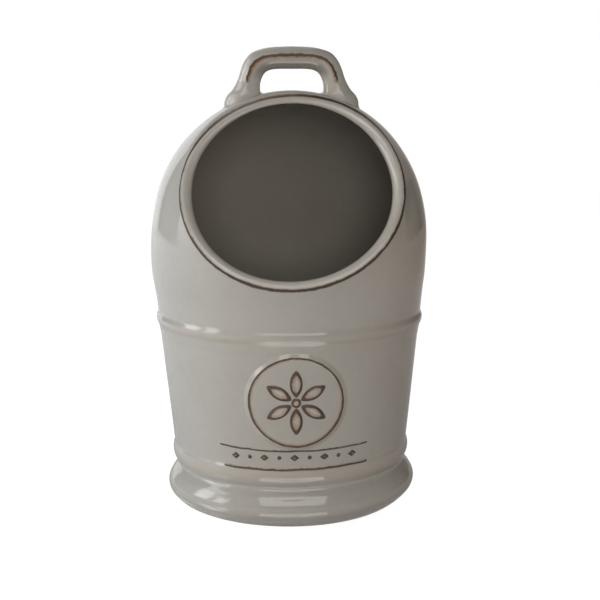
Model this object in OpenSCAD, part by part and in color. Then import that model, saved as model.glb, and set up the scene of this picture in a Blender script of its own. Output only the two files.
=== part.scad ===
// Salt pig: a footed, round stoneware pot with a wide slanted mouth and a finger handle on its crown.
// Millimetres. The pot stands on z = 0 about the Z axis, and its mouth and medallion face -Y.
// It is built as a potter joins it: courses of clay stacked face to face, and applied pieces on them.

/* [Pot] */
// Greatest outer radius, at the shoulder line
body_r = 60; // [56:1:66]
// Wall thickness
wall = 5; // [3.5:0.5:7]
// How much narrower the wall is where it leaves the foot than at the shoulder line
neck_in = 9.4; // [7:0.2:12]
// Height of the straight wall between the two beads
lower_wall_h = 47.4; // [45:0.2:60]
// Height from the top of the waist bead to the shoulder line
shoulder_rise = 26.8; // [22:0.2:32]
// Radius of the slight bulge of the wall at the shoulder line
side_arc_r = 87.5; // [75:0.5:100]
// Angle up the side bulge at which the round dome takes over
dome_start_angle = 14.4; // [10:0.2:18]

/* [Foot] */
// Height of the foot ring, up to the base bead
foot_h = 20.3; // [19:0.1:26]
// How far the fullest point of the foot stands out from the neck
foot_proud = 4.2; // [3:0.1:6]
// Depth of the foot's fullest point below the top of the foot ring
foot_full_drop = 9; // [8.8:0.1:10]
// Radius of the foot's roll below its fullest point
foot_under_r = 8.2; // [7:0.1:9]
// Radius of the foot's roll above its fullest point
foot_over_r = 7; // [5:0.1:7.5]
// Radius of the cove between the foot and the neck
cove_r = 2; // [1:0.1:2.6]
// How far the ring that the pot stands on lies inside the foot's fullest point
contact_in = 11.8; // [10:0.1:14]
// Width of the ring that the pot stands on
contact_w = 5; // [3:0.5:7]
// Depth of the recess under the floor
recess_h = 3.5; // [2:0.5:5]
// Thickness of the floor
floor_t = 5.5; // [4:0.5:8]

/* [Beads] */
// Height of the course that carries the base bead
base_course_h = 11.3; // [10.6:0.1:14]
// How far the base bead stands proud of the wall
base_bead_proud = 1.15; // [0.6:0.05:1.6]
// Radius of the base bead's section
base_bead_arc_r = 11; // [8:0.5:13]
// Height of the base bead's crest above the foot ring
base_bead_lift = 6.5; // [5.6:0.1:7]
// Height of the course that carries the waist bead
waist_course_h = 9.6; // [9:0.1:14]
// How far the waist bead stands proud of the wall
waist_bead_proud = 1.25; // [0.6:0.05:1.6]
// Radius of the waist bead's section
waist_bead_arc_r = 7.3; // [6:0.1:8]

/* [Mouth] */
// How much smaller the radius of the mouth's outer edge is than the dome's
mouth_in = 12.8; // [11.5:0.1:17]
// Angle of the mouth's axis above the horizontal
mouth_tilt = 35.5; // [30:0.5:40]
// How far the mouth's centre lies down its own plane from the dome's centre
mouth_drop = 3.7; // [1:0.1:5]
// How far the mouth's edge stands off the dome at its sides
rim_proud = 1; // [0.4:0.1:1.6]
// Width of the rim, across its lip
rim_w = 5.2; // [4.4:0.1:6.4]
// Radius of the lip's inner roll
lip_r = 3.2; // [2.6:0.1:4]
// How far the rim is let in past the dome's inner face
rim_root = 3; // [2.5:0.5:5]
// Outward spread of the dome's edge for each unit in front of the mouth's plane
flare_share = 1.2; // [0.8:0.1:2]

/* [Handle] */
// Height of the handle above the crown of the dome
handle_rise = 18.5; // [16:0.5:24]
// Width of the handle's arch across its legs
handle_w = 43; // [40:0.5:48]
// Width of the handle across its feet
handle_foot_w = 57.6; // [54:0.2:62]
// Depth of the handle's bar, front to back
handle_d = 10; // [8:0.5:12]
// Depth of the handle's feet, front to back
handle_foot_d = 14; // [12:0.5:16]
// Outer corner radius of the arch
handle_corner_r = 12.6; // [10:0.2:15]
// Radius of the rounded tip of each foot
handle_tip_r = 4.2; // [3:0.1:5]
// How far the legs spread outwards before they flare into the feet
leg_splay = 1.5; // [0.5:0.1:2.5]
// Height above the feet at which the legs flare
leg_flare_h = 2.5; // [1:0.1:4]
// Thickness of the handle's bar, top to bottom
bar_h = 9.6; // [8:0.1:11]
// Width of the finger hole
finger_hole_w = 27.6; // [25:0.2:30]
// Corner radius of the finger hole
finger_hole_r = 7.5; // [4:0.5:9]

/* [Relief] */
// Radius of the medallion
medallion_r = 19.5; // [16:0.5:21]
// Clearance between the medallion and the upper line of the label
medallion_gap = 0.75; // [0.5:0.05:1.5]
// How far the medallion stands proud of the wall
medallion_t = 1.1; // [0.6:0.1:1.6]
// Number of petals of the rosette
petals = 6; // [4:1:8]
// Length of a petal
petal_len = 11.6; // [9:0.1:13]
// Width of a petal
petal_w = 4.6; // [3:0.1:5]
// Radius of the boss in the middle of the rosette
boss_r = 1.9; // [1.2:0.1:2.6]
// How far the rosette and the label's studs stand proud
relief_t = 0.7; // [0.4:0.1:1]
// Sweep of the label's two lines round the pot
label_sweep = 72; // [50:1:90]
// Height of the upper line above the base course
upper_line_lift = 4.9; // [4.4:0.1:6]
// Depth of the lower line below the top of the base course
lower_line_drop = 3.6; // [2:0.1:4]
// Radius of a line's round section
line_r = 0.55; // [0.4:0.05:0.7]
// Number of studs in the label's row
studs = 9; // [5:2:11]
// Width of a lozenge stud
lozenge_w = 3.2; // [2:0.1:4]
// Height of a lozenge stud
lozenge_h = 2.2; // [1.6:0.1:2.6]
// Radius of a round stud
dot_r = 0.8; // [0.5:0.05:1.1]

/* [Hidden] */
$fn = 160;

// Overrun of every cut past the face that it opens
overrun = 1;
// Steps along each curved stretch of an outline
arc_steps = 10;
glaze_colour = [0.63, 0.61, 0.58];
rim_colour = [0.67, 0.64, 0.59];
worn_colour = [0.33, 0.25, 0.22];
medallion_colour = [0.66, 0.65, 0.61];

// Radii of the neck, of the foot's fullest point and of the ring that the pot stands on
neck_r = body_r - neck_in;
foot_r = neck_r + foot_proud;
contact_r = foot_r - contact_in;
foot_full_z = foot_h - foot_full_drop;

// Heights of the joints between the courses
base_z = foot_h;
lower_wall_z = base_z + base_course_h;
waist_z = lower_wall_z + lower_wall_h;
dome_z = waist_z + waist_course_h;
shoulder_line_z = dome_z + shoulder_rise;

// The side bulge is an arc, the dome above it is a sphere, and the two share a tangent
side_arc_x = body_r - side_arc_r;
dome_r = side_arc_r + side_arc_x / cos(dome_start_angle);
dome_centre_z = shoulder_line_z - side_arc_x * tan(dome_start_angle);
crown_z = dome_centre_z + dome_r;

// The straight wall runs from the neck to the side bulge, and is tangent to it
wall_angle = tangent_angle([neck_r, foot_h], [side_arc_x, shoulder_line_z], side_arc_r);

// The mouth's edge is a circle in a slanted plane, and lies on a sphere just outside the dome
mouth_r = dome_r - mouth_in;
mouth_reach = sqrt(pow(dome_r + rim_proud, 2) - pow(mouth_r, 2));
// The rim goes in until its outer face has left the wall all round
rim_depth = mouth_reach - sqrt(pow(dome_r - wall, 2) - pow(mouth_r, 2)) + rim_root;

handle_top_z = crown_z + handle_rise;
// Where the arch's corner ends above each leg, and where the foot's round tip starts
leg_top_angle = 8;
foot_top_angle = 45;
upper_line_z = lower_wall_z + upper_line_lift;
medallion_z = upper_line_z + line_r + medallion_gap + medallion_r;
lower_line_z = lower_wall_z - lower_line_drop;
stud_z = (lower_wall_z + upper_line_z - line_r) / 2;
stud_step_share = 0.86;

// Points along an arc, from one angle to another
function arc(centre, r, from, to) = [
    for (i = [0 : arc_steps])
        let (a = from + (to - from) * i / arc_steps)
        centre + r * [cos(a), sin(a)]
];

// Angle at a circle's centre of the point where a line from a point below touches the circle
function tangent_angle(from, centre, r) =
    let (d = from - centre)
    atan2(d[1], d[0]) + acos(r / norm(d));

// Outer radius of the straight wall at height z, moved in by inset
function wall_r(z, inset = 0) =
    (side_arc_r - inset + side_arc_x * cos(wall_angle) + (shoulder_line_z - z) * sin(wall_angle))
    / cos(wall_angle);

// Half section of the pot as one solid, moved in by inset, from height low to its crown
module body_section(inset, low) {
    bulge = arc([side_arc_x, shoulder_line_z], side_arc_r - inset, wall_angle, dome_start_angle);
    polygon(concat([[0, low], [wall_r(low, inset), low]], bulge, [[0, bulge[arc_steps][1]]]));
    intersection() {
        translate([0, dome_centre_z]) circle(dome_r - inset);
        translate([0, dome_centre_z]) square([body_r, dome_r]);
    }
}

// One course of the wall between two heights, with an optional round bead on its outside
module course(low, high, bead_z = 0, bead_proud = 0, bead_arc_r = 0) {
    rotate_extrude() intersection() {
        translate([0, low]) square([body_r, high - low]);
        difference() {
            union() {
                body_section(0, low - overrun);
                if (bead_arc_r > 0) {
                    translate([wall_r(bead_z) + bead_proud - bead_arc_r, bead_z]) circle(bead_arc_r);
                }
            }
            body_section(wall, low - 2 * overrun);
        }
    }
}

// Moves children into the mouth's frame: +Z along its axis, out of the pot, with its plane at zero
module at_mouth() {
    translate([0, 0, dome_centre_z]) rotate([90 - mouth_tilt, 0, 0]) {
        translate([0, -mouth_drop, mouth_reach]) children();
    }
}

// Room that the mouth takes out of the dome and of the handle's feet
module mouth_room() {
    at_mouth() {
        translate([0, 0, -rim_depth]) cylinder(r = mouth_r, h = rim_depth + overrun);
        cylinder(r1 = mouth_r, r2 = mouth_r + mouth_r * flare_share / 2, h = mouth_r / 2);
    }
}

// The part of a half section that lies between two heights
module band(low, high) {
    intersection() {
        translate([0, low]) square([body_r, high - low]);
        children();
    }
}

// Foot ring: a splayed underside, two rolls that meet at the fullest height, a cove and a short neck
module foot_ring() {
    under_x = foot_r - foot_under_r;
    over_x = foot_r - foot_over_r;
    cove_x = neck_r + cove_r;
    cove_z = foot_full_z + sqrt(pow(foot_over_r + cove_r, 2) - pow(cove_x - over_x, 2));
    touch_angle = tangent_angle([contact_r, 0], [under_x, foot_full_z], foot_under_r);
    touch_x = under_x + foot_under_r * cos(touch_angle);
    touch_z = foot_full_z + foot_under_r * sin(touch_angle);
    roll_end_share = foot_over_r / (foot_over_r + cove_r);
    roll_end_z = foot_full_z + (cove_z - foot_full_z) * roll_end_share;
    color(glaze_colour) rotate_extrude() difference() {
        union() {
            polygon([[0, 0], [contact_r, 0], [touch_x, touch_z], [0, touch_z]]);
            band(touch_z, foot_full_z) {
                translate([under_x, foot_full_z]) circle(foot_under_r);
                square([under_x, foot_h]);
            }
            band(foot_full_z, roll_end_z) {
                translate([over_x, foot_full_z]) circle(foot_over_r);
                square([over_x, foot_h]);
            }
            band(roll_end_z, cove_z) difference() {
                square([cove_x, foot_h]);
                translate([cove_x, cove_z]) circle(cove_r);
            }
            band(cove_z, foot_h) square([neck_r, foot_h]);
        }
        translate([0, -overrun]) square([contact_r - contact_w, foot_h]);
        translate([0, recess_h]) square([wall_r(foot_h, wall), foot_h]);
    }
}

// Floor: a disc that closes the foot ring from inside, and stands a little off the table
module floor_slab() {
    color(glaze_colour) translate([0, 0, recess_h]) cylinder(r = wall_r(foot_h, wall), h = floor_t);
}

// First course, with the round bead that the label's lower line lies on
module base_bead() {
    color(glaze_colour) {
        course(base_z, lower_wall_z, base_z + base_bead_lift, base_bead_proud, base_bead_arc_r);
    }
}

// Straight course between the two beads, which carries the medallion and the label
module lower_wall() {
    color(glaze_colour) course(lower_wall_z, waist_z);
}

// Narrow course with the bead at the pot's waist
module waist_bead() {
    color(glaze_colour) {
        course(waist_z, dome_z, waist_z + waist_course_h / 2, waist_bead_proud, waist_bead_arc_r);
    }
}

// Shoulder and dome, cut open by the slanted mouth
module dome() {
    color(glaze_colour) difference() {
        course(dome_z, crown_z + overrun);
        mouth_room();
    }
}

// Rim: a ring about the mouth's axis with a rolled inner lip, let into the dome's opening
module mouth_rim() {
    inner_r = mouth_r - rim_w;
    lip_x = inner_r + lip_r;
    lip_z = -sqrt(pow(lip_r, 2) - pow(rim_w - lip_r, 2));
    color(rim_colour) difference() {
        at_mouth() rotate_extrude() intersection() {
            translate([inner_r, -rim_depth]) square([rim_w, rim_depth + lip_r]);
            union() {
                translate([lip_x, lip_z]) circle(lip_r);
                translate([inner_r, -rim_depth]) square([rim_w, rim_depth + lip_z]);
            }
        }
        rotate_extrude() body_section(wall, base_z);
    }
}

// Points along a curve that leaves a towards b and comes to c from b, without its ends
function bow(a, b, c) = [
    for (i = [1 : arc_steps - 1])
        let (t = i / arc_steps)
        a * pow(1 - t, 2) + 2 * b * t * (1 - t) + c * pow(t, 2)
];

// Points mirrored across the second axis, in reverse order
function mirrored(points) = [
    for (i = [len(points) - 1 : -1 : 0])
        [-points[i][0], points[i][1]]
];

// Right half of the handle's front outline: arch, spreading leg, round foot and finger hole
function handle_half() =
    let (
        corner = [handle_w / 2 - handle_corner_r, handle_top_z - handle_corner_r],
        tip_x = handle_foot_w / 2 - handle_tip_r,
        tip = [tip_x, dome_centre_z + sqrt(pow(dome_r, 2) - pow(tip_x, 2))],
        hole = [finger_hole_w / 2 - finger_hole_r, handle_top_z - bar_h - finger_hole_r],
        leg_top = corner + handle_corner_r * [cos(leg_top_angle), sin(leg_top_angle)],
        foot_top = tip + handle_tip_r * [cos(foot_top_angle), sin(foot_top_angle)],
        knee = [handle_w / 2 + leg_splay, foot_top[1] + leg_flare_h]
    )
    concat(
        arc(corner, handle_corner_r, 90, leg_top_angle),
        bow(leg_top, knee, foot_top),
        arc(tip, handle_tip_r, foot_top_angle, -90),
        [[finger_hole_w / 2, tip[1] - handle_tip_r]],
        arc(hole, finger_hole_r, 0, 90)
    );

// Right half of the handle's side outline: a round-topped bar that thickens towards its feet
function handle_side_half() =
    let (foot_z = crown_z - handle_tip_r)
    concat(
        arc([0, handle_top_z - handle_d / 2], handle_d / 2, 90, 0),
        [
            [handle_d / 2, crown_z + handle_tip_r],
            [handle_foot_d / 2, foot_z],
            [handle_foot_d / 2, foot_z - 2 * handle_tip_r]
        ]
    );

// The handle is what its front and its side outline have in common, seated on the dome
module handle() {
    front = handle_half();
    side = handle_side_half();
    color(glaze_colour) difference() {
        intersection() {
            rotate([90, 0, 0]) translate([0, 0, -handle_foot_d]) {
                linear_extrude(2 * handle_foot_d) polygon(concat(front, mirrored(front)));
            }
            rotate([90, 0, 90]) translate([0, 0, -handle_foot_w]) {
                linear_extrude(2 * handle_foot_w) polygon(concat(side, mirrored(side)));
            }
        }
        rotate_extrude() body_section(0, base_z);
        mouth_room();
    }
}

// Skin over the straight wall between two heights proud of it, where relief is cut from
module wall_skin(from, to) {
    rotate_extrude() polygon([
        [wall_r(lower_wall_z, -from), lower_wall_z],
        [wall_r(lower_wall_z, -to), lower_wall_z],
        [wall_r(waist_z, -to), waist_z],
        [wall_r(waist_z, -from), waist_z]
    ]);
}

// Prism of a flat outline, pushed into the front of the pot at height z
module front_prism(z) {
    translate([0, 0, z]) rotate([90, 0, 0]) linear_extrude(body_r + overrun) children();
}

// Medallion: a thin round disc that follows the wall
module medallion() {
    color(medallion_colour) intersection() {
        wall_skin(0, medallion_t);
        front_prism(medallion_z) circle(medallion_r);
    }
}

// A petal is the overlap of two equal circles, with its root at the origin and its tip along +Y
module petal() {
    bow_r = (pow(petal_len, 2) + pow(petal_w, 2)) / (4 * petal_w);
    intersection() {
        translate([bow_r - petal_w / 2, petal_len / 2]) circle(bow_r);
        translate([petal_w / 2 - bow_r, petal_len / 2]) circle(bow_r);
    }
}

// Rosette: a boss with petals round it, on the medallion
module rosette() {
    color(worn_colour) intersection() {
        wall_skin(medallion_t, medallion_t + relief_t);
        front_prism(medallion_z) {
            circle(boss_r);
            for (i = [0 : petals - 1]) {
                rotate(360 / petals * i) translate([0, boss_r / 2]) petal();
            }
        }
    }
}

// Round line that runs along the front of the pot, centred on radius r at height z
module front_line(r, z) {
    rotate([0, 0, -90 - label_sweep / 2]) rotate_extrude(angle = label_sweep) {
        translate([r, z]) circle(line_r);
    }
}

// Upper line of the label, on the straight wall
module upper_line() {
    color(worn_colour) difference() {
        front_line(wall_r(upper_line_z), upper_line_z);
        rotate_extrude() body_section(0, base_z);
    }
}

// Lower line of the label, on the upper shoulder of the base bead
module lower_line() {
    bead_z = base_z + base_bead_lift;
    bead_x = wall_r(bead_z) + base_bead_proud - base_bead_arc_r;
    line_x = bead_x + sqrt(pow(base_bead_arc_r, 2) - pow(lower_line_z - bead_z, 2));
    color(worn_colour) difference() {
        front_line(line_x, lower_line_z);
        base_bead();
    }
}

// Row of lozenges and dots, turn about, between the two lines
module label_studs() {
    step = label_sweep * stud_step_share / studs;
    color(worn_colour) intersection() {
        wall_skin(0, relief_t);
        for (i = [0 : studs - 1]) {
            rotate([0, 0, (i - (studs - 1) / 2) * step]) front_prism(stud_z) {
                if (i % 2 == 0) {
                    polygon([
                        [-lozenge_w / 2, 0],
                        [0, -lozenge_h / 2],
                        [lozenge_w / 2, 0],
                        [0, lozenge_h / 2]
                    ]);
                } else {
                    circle(dot_r);
                }
            }
        }
    }
}

foot_ring();
floor_slab();
base_bead();
lower_wall();
waist_bead();
dome();
mouth_rim();
handle();
medallion();
rosette();
upper_line();
lower_line();
label_studs();
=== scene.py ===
# Looks of the salt pig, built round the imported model
from math import acos, asin, cos, degrees, pi, radians, sin

import bpy
import numpy as np
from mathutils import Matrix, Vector


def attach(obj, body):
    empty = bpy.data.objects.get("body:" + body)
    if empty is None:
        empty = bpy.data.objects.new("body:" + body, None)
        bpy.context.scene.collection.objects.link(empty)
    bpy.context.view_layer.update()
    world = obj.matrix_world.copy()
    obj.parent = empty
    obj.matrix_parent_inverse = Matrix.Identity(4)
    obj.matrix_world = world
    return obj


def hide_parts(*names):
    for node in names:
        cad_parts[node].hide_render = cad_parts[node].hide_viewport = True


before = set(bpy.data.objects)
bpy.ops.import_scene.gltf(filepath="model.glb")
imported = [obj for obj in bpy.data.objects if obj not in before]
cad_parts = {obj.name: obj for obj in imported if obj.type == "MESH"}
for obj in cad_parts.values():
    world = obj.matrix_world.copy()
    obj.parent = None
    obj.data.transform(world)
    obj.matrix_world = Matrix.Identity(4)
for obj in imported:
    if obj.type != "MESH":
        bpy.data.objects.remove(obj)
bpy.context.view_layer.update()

# Sizes, in millimetres, as in the part's source
MM = 0.001
WALL = 5.0
NECK_R, WALL_SLOPE = 50.6, 0.10386
FOOT_H, BASE_TOP_Z, WAIST_Z, DOME_BASE_Z = 20.3, 31.6, 79.0, 88.6
CONTACT_R, CONTACT_W, RECESS_H, FLOOR_Z = 43.0, 5.0, 3.5, 9.0
SHOULDER_Z, SIDE_ARC_X, SIDE_ARC_R = 115.4, -27.5, 87.5
WALL_ANGLE, DOME_ANGLE = -5.93, 14.4
DOME_R, DOME_Z = 59.11, 122.46
MOUTH_TILT, MOUTH_R, RIM_W, LIP_R = 35.5, 46.3, 5.2, 3.2
MEDALLION_Z, MEDALLION_R, MEDALLION_T = 57.3, 19.5, 1.1
UPPER_LINE_Z, LOWER_LINE_Z, STUD_Z, LABEL_SWEEP = 36.5, 28.0, 33.8, 72.0
SLAB_R, SLAB_TOP_Z = 45.57, 12.4
CONTACT_INNER_R = CONTACT_R - CONTACT_W

# Directions across the mouth, and where it lies
CENTRE = np.array([0.0, 0.0, DOME_Z])
TILT = radians(MOUTH_TILT)
MOUTH_OUT = np.array([0.0, -cos(TILT), sin(TILT)])
MOUTH_UP = np.array([0.0, sin(TILT), cos(TILT)])
MOUTH_SIDE = np.array([1.0, 0.0, 0.0])
MOUTH_CENTRE = np.array([0.0, -33.5, 141.35])

# How far the pot leans sideways at each height, and the slope of its foot, which eases in and out over
# these heights
LEAN_Z = [0, 15, 30, 50, 70, 90, 103, 114, 128, 145, 156, 166, 180, 200]
LEAN_X = [0.8, 0.9, 0.57, 0.4, 0.25, 0.2, -0.1, -0.05, 0.3, 0.36, 0.5, 0.9, 1.3, 1.15]
FOOT_SLOPE, FOOT_EASES_IN, FOOT_EASES_OUT = 0.017, (0, 5), (22, 42)
# How uneven the clay's face is: a sum of waves, with lengths in this range
UNEVEN, WAVES, WAVE_LENGTHS, WAVE_PEAK = 0.05, 9, (32, 85), 5.5

# How the meshes are made. FAR is the mark of a point with no worn edge near it. Points that fall in the same
# cell, WELD to the millimetre, become one. Over ROLL_TOP the outline has one radius at each height
SEGMENTS = 256
FAR = 50.0
WELD = 2000
ROLL_TOP = 12


# Small helpers for paths and grids
def angles(count):
    return np.linspace(0, 2 * pi, count, endpoint=False)


PHI = angles(SEGMENTS)


def arc(cx, cz, rx, start, end, rz=None, step=0.1):
    rz = rx if rz is None else rz
    count = max(3, int(abs(radians(end - start)) * max(rx, rz) / step))
    a = np.radians(np.linspace(start, end, count))
    return np.stack([cx + rx * np.cos(a), cz + rz * np.sin(a)], 1)


def lengths(path):
    return np.concatenate([[0], np.cumsum(np.linalg.norm(np.diff(path, axis=0), axis=1))])


def resampled(path, s, at):
    return np.stack([np.interp(at, s, path[:, k]) for k in range(path.shape[1])], -1)


def even(path, step=0.1):
    s = lengths(path)
    keep = np.concatenate([[True], np.diff(s) > 1e-6])
    return resampled(path[keep], s[keep], np.linspace(0, s[-1], max(3, int(s[-1] / step) + 1)))


def soften(path, sigma, step=0.1):
    """Rounds the corners of an evenly spaced path. Its ends stay."""
    half = int(4 * sigma / step)
    kernel = np.exp(-0.5 * (np.arange(-half, half + 1) * step / sigma) ** 2)
    kernel /= kernel.sum()
    out = np.empty_like(path)
    for k in range(path.shape[-1]):
        p = path[:, k]
        padded = np.concatenate([2 * p[0] - p[half:0:-1], p, 2 * p[-1] - p[-2:-half - 2:-1]])
        out[:, k] = np.convolve(padded, kernel, "valid")
    return out


def smoothstep(x, low, high):
    t = np.clip((x - low) / (high - low), 0, 1)
    return t * t * (3 - 2 * t)


def unit(v):
    return v / np.linalg.norm(v, axis=-1, keepdims=True)


def spline(points, count):
    """Smooth curve through the points, as count samples."""
    p = np.asarray(points, float)
    p = np.concatenate([[2 * p[0] - p[1]], p, [2 * p[-1] - p[-2]]])
    n = len(p) - 3
    t = np.linspace(0, n, count)
    i = np.minimum(t.astype(int), n - 1)
    f = (t - i)[:, None]
    a, b, c, d = p[i], p[i + 1], p[i + 2], p[i + 3]
    square, cube = 2 * a - 5 * b + 4 * c - d, 3 * b - a - 3 * c + d
    return 0.5 * (2 * b + (c - a) * f + square * f ** 2 + cube * f ** 3)


def slope(grid, axis, closed):
    """Derivative of a grid of points along one axis, weighted for uneven spacing."""
    g = np.moveaxis(grid, axis, 0)
    if closed:
        before, after = np.roll(g, 1, 0), np.roll(g, -1, 0)
    else:
        before = np.concatenate([2 * g[:1] - g[1:2], g[:-1]])
        after = np.concatenate([g[1:], 2 * g[-1:] - g[-2:-1]])
    a, b = g - before, after - g
    la = np.maximum(np.linalg.norm(a, axis=-1, keepdims=True), 1e-9)
    lb = np.maximum(np.linalg.norm(b, axis=-1, keepdims=True), 1e-9)
    return np.moveaxis(a / la * lb + b / lb * la, 0, axis)


def grid_normals(grid):
    return unit(np.cross(slope(grid, 1, True), slope(grid, 0, False)) + 1e-12)


def turn(a, b, share):
    """Directions part of the way from a to b along the great circle."""
    angle = np.arccos(np.clip((a * b).sum(-1), -1, 1))[..., None]
    return (np.sin((1 - share) * angle) * a + np.sin(share * angle) * b) / np.sin(angle)


def ring(r, z):
    return np.stack([r * np.cos(PHI), r * np.sin(PHI), np.full_like(PHI, z)], -1)


def turned(rows):
    return np.stack([ring(r, z) for r, z in rows])


# Hand work: what sets the real pot off from its drawing
def handmade(p, seed=3):
    """How far a point of the clay lies inside the true form: low, uneven, never outside it."""
    rng = np.random.default_rng(seed)
    total = np.zeros(p.shape[:-1])
    for _ in range(WAVES):
        wave = rng.normal(size=3)
        wave *= 2 * pi / rng.uniform(*WAVE_LENGTHS) / np.linalg.norm(wave)
        total += np.sin(p @ wave + rng.uniform(0, 2 * pi))
    return UNEVEN * (1 + np.clip(total / WAVE_PEAK, -1, 1))


def lean(p):
    """The pot was thrown by hand: it isn't quite upright, and its foot isn't quite level."""
    z = p[..., 2]
    knots = spline(np.stack([LEAN_Z, LEAN_X], 1), 400)
    slant = FOOT_SLOPE * smoothstep(z, *FOOT_EASES_IN) * (1 - smoothstep(z, *FOOT_EASES_OUT))
    out = p.copy()
    out[..., 0] += np.interp(z, knots[:, 0], knots[:, 1])
    out[..., 2] += slant * p[..., 0]
    return out


# Outline of the pot, from the ring that it stands on to the crown
BASE_BEAD_Z, BASE_BEAD_PROUD, BASE_BEAD_R = 25.9, 1.15, 8.0
# Height and how far it stands off the wall, with a small step under the bead
WAIST_RIDGE = [
    (76.5, 0.0), (79.3, 0.26), (81.2, 0.42), (82.6, 0.98), (84.0, 1.15), (85.2, 0.9), (86.9, 0.0),
]
# Radius and height of the foot's roll, from its standing edge up to the crease under the base bead
FOOT_ROLL_POINTS = [
    (43.6, 1.18), (45.3, 1.6), (47.7, 2.6), (50.35, 4.2), (52.05, 5.7), (52.9, 6.7), (53.7, 7.6), (54.5, 9.2),
    (54.8, 10.9), (54.7, 12.2), (54.3, 13.4), (53.5, 14.85), (52.65, 16.2), (51.4, 17.6), (49.7, 19.2),
]
# The shoulder is a little fuller than its arc: by how much, at what height, over what half height
FULLER_BY, FULLER_Z, FULLER_OVER = 0.35, 103, 6
# How much its corners are rounded, and the heights over which one amount takes over from another
SOFT_SHOULDER, SOFT_CREASE, SOFT_BEADS = 0.8, 0.9, 0.4
SHOULDER_FROM, CREASE_FROM, CREASE_UNTIL = (92, 100), (11.5, 18.5), (20.5, 26)


def wall_r(z):
    return NECK_R + (z - FOOT_H) * WALL_SLOPE


def base_bead():
    """Arc of the lower bead. It starts in the crease over the foot."""
    z = BASE_BEAD_Z
    path = arc(wall_r(z) + BASE_BEAD_PROUD - BASE_BEAD_R, z, BASE_BEAD_R, -50, 60)
    return path[(path[:, 0] > wall_r(path[:, 1])) | (path[:, 1] < z)]


def outline():
    wall_top = SHOULDER_Z + SIDE_ARC_R * sin(radians(WALL_ANGLE))
    path = even(np.concatenate([
        [[CONTACT_INNER_R, RECESS_H], [CONTACT_INNER_R, 0.0], [CONTACT_R - 2.4, 0.0], [CONTACT_R - 1.4, 0.9]],
        spline(FOOT_ROLL_POINTS, 500),
        base_bead(),
        [[wall_r(z) + proud, z] for z, proud in WAIST_RIDGE],
        [[wall_r(wall_top), wall_top]],
        arc(SIDE_ARC_X, SHOULDER_Z, SIDE_ARC_R, WALL_ANGLE, DOME_ANGLE),
        arc(0, DOME_Z, DOME_R, DOME_ANGLE, 90),
    ]))
    z = path[:, 1].copy()
    path[:, 0] += FULLER_BY * np.exp(-((z - FULLER_Z) / FULLER_OVER) ** 2) * (path[:, 0] > 55)
    soft, crisp = soften(path, SOFT_SHOULDER), soften(path, SOFT_BEADS)
    shoulder = smoothstep(z, *SHOULDER_FROM)[:, None]
    crease = (smoothstep(z, *CREASE_FROM) * (1 - smoothstep(z, *CREASE_UNTIL)))[:, None]
    path = crisp * (1 - shoulder) + soft * shoulder
    return path * (1 - crease) + soften(crisp, SOFT_CREASE) * crease


def inside_outline():
    """Inner face of the wall, from the floor to the crown."""
    low_r = wall_r(FOOT_H) - WALL / cos(radians(WALL_ANGLE))
    path = np.concatenate([
        [[low_r, FLOOR_Z], [low_r, FOOT_H]],
        arc(SIDE_ARC_X, SHOULDER_Z, SIDE_ARC_R - WALL, WALL_ANGLE, DOME_ANGLE),
        arc(0, DOME_Z, DOME_R - WALL, DOME_ANGLE, 90),
    ])
    return soften(even(path), SOFT_SHOULDER)


OUTSIDE = outline()
INSIDE = inside_outline()


def at_height(path, z):
    upper = path[path[:, 1] > ROLL_TOP]
    return np.interp(z, upper[:, 1], upper[:, 0])


def reach(path, direction):
    """Distance from the dome's centre to the pot's face in a direction."""
    part = path[path[:, 1] > 60]
    el = np.arctan2(part[:, 1] - DOME_Z, part[:, 0])
    rho = np.hypot(part[:, 0], part[:, 1] - DOME_Z)
    order = np.argsort(el)
    wanted = np.arctan2(direction[..., 2], np.hypot(direction[..., 0], direction[..., 1]))
    return np.interp(wanted, el[order], rho[order])


# Marks on the points of a mesh, which the glaze reads
WEAR_PHI = [0, 45, 90, 115, 140, 165, 200, 225, 270, 315, 360]
WEAR = [1.25, 0.95, 0.5, 0.4, 0.5, 0.75, 0.9, 0.95, 1.0, 1.1, 1.25]
WAIST_CREST_Z, WAIST_CREST_H = 83.5, 0.8
BASE_CREST_Z, BASE_CREST_H = 25.2, 1.5
INSIDE_DEPTHS, INSIDE_HEIGHTS, WEAR_REACH = (2.6, 4.8), (6.0, 8.0), (6, 9)


def inside_share(p):
    """0 on the outside of the pot, 1 on the inner face of its wall, where the glaze is given painted shade.
    """
    z = p[:, 2]
    low = at_height(OUTSIDE, z) - np.hypot(p[:, 0], p[:, 1])
    high = reach(OUTSIDE, unit(p - CENTRE + 1e-9)) - np.linalg.norm(p - CENTRE, axis=-1)
    depth = np.where(z < DOME_BASE_Z, low, high)
    return smoothstep(depth, *INSIDE_DEPTHS) * smoothstep(z, *INSIDE_HEIGHTS)


def crest_share(p, inside):
    """1 along the crests of the two beads, where the glaze runs thin and warm."""
    z = p[:, 2]
    waist = np.exp(-((z - WAIST_CREST_Z) / WAIST_CREST_H) ** 2)
    base = np.exp(-((z - BASE_CREST_Z) / BASE_CREST_H) ** 2)
    return (waist + base) * (1 - inside)


def wear_at(p):
    """How far the glaze is worn at the mouth's edge: most at its right, least at its upper left."""
    v = p - MOUTH_CENTRE
    phi = np.degrees(np.arctan2(v @ MOUTH_UP, v @ MOUTH_SIDE)) % 360
    near = 1 - smoothstep(np.abs(np.linalg.norm(v, axis=-1) - MOUTH_R), *WEAR_REACH)
    return 1 + near * (np.interp(phi, WEAR_PHI, WEAR) - 1)


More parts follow.
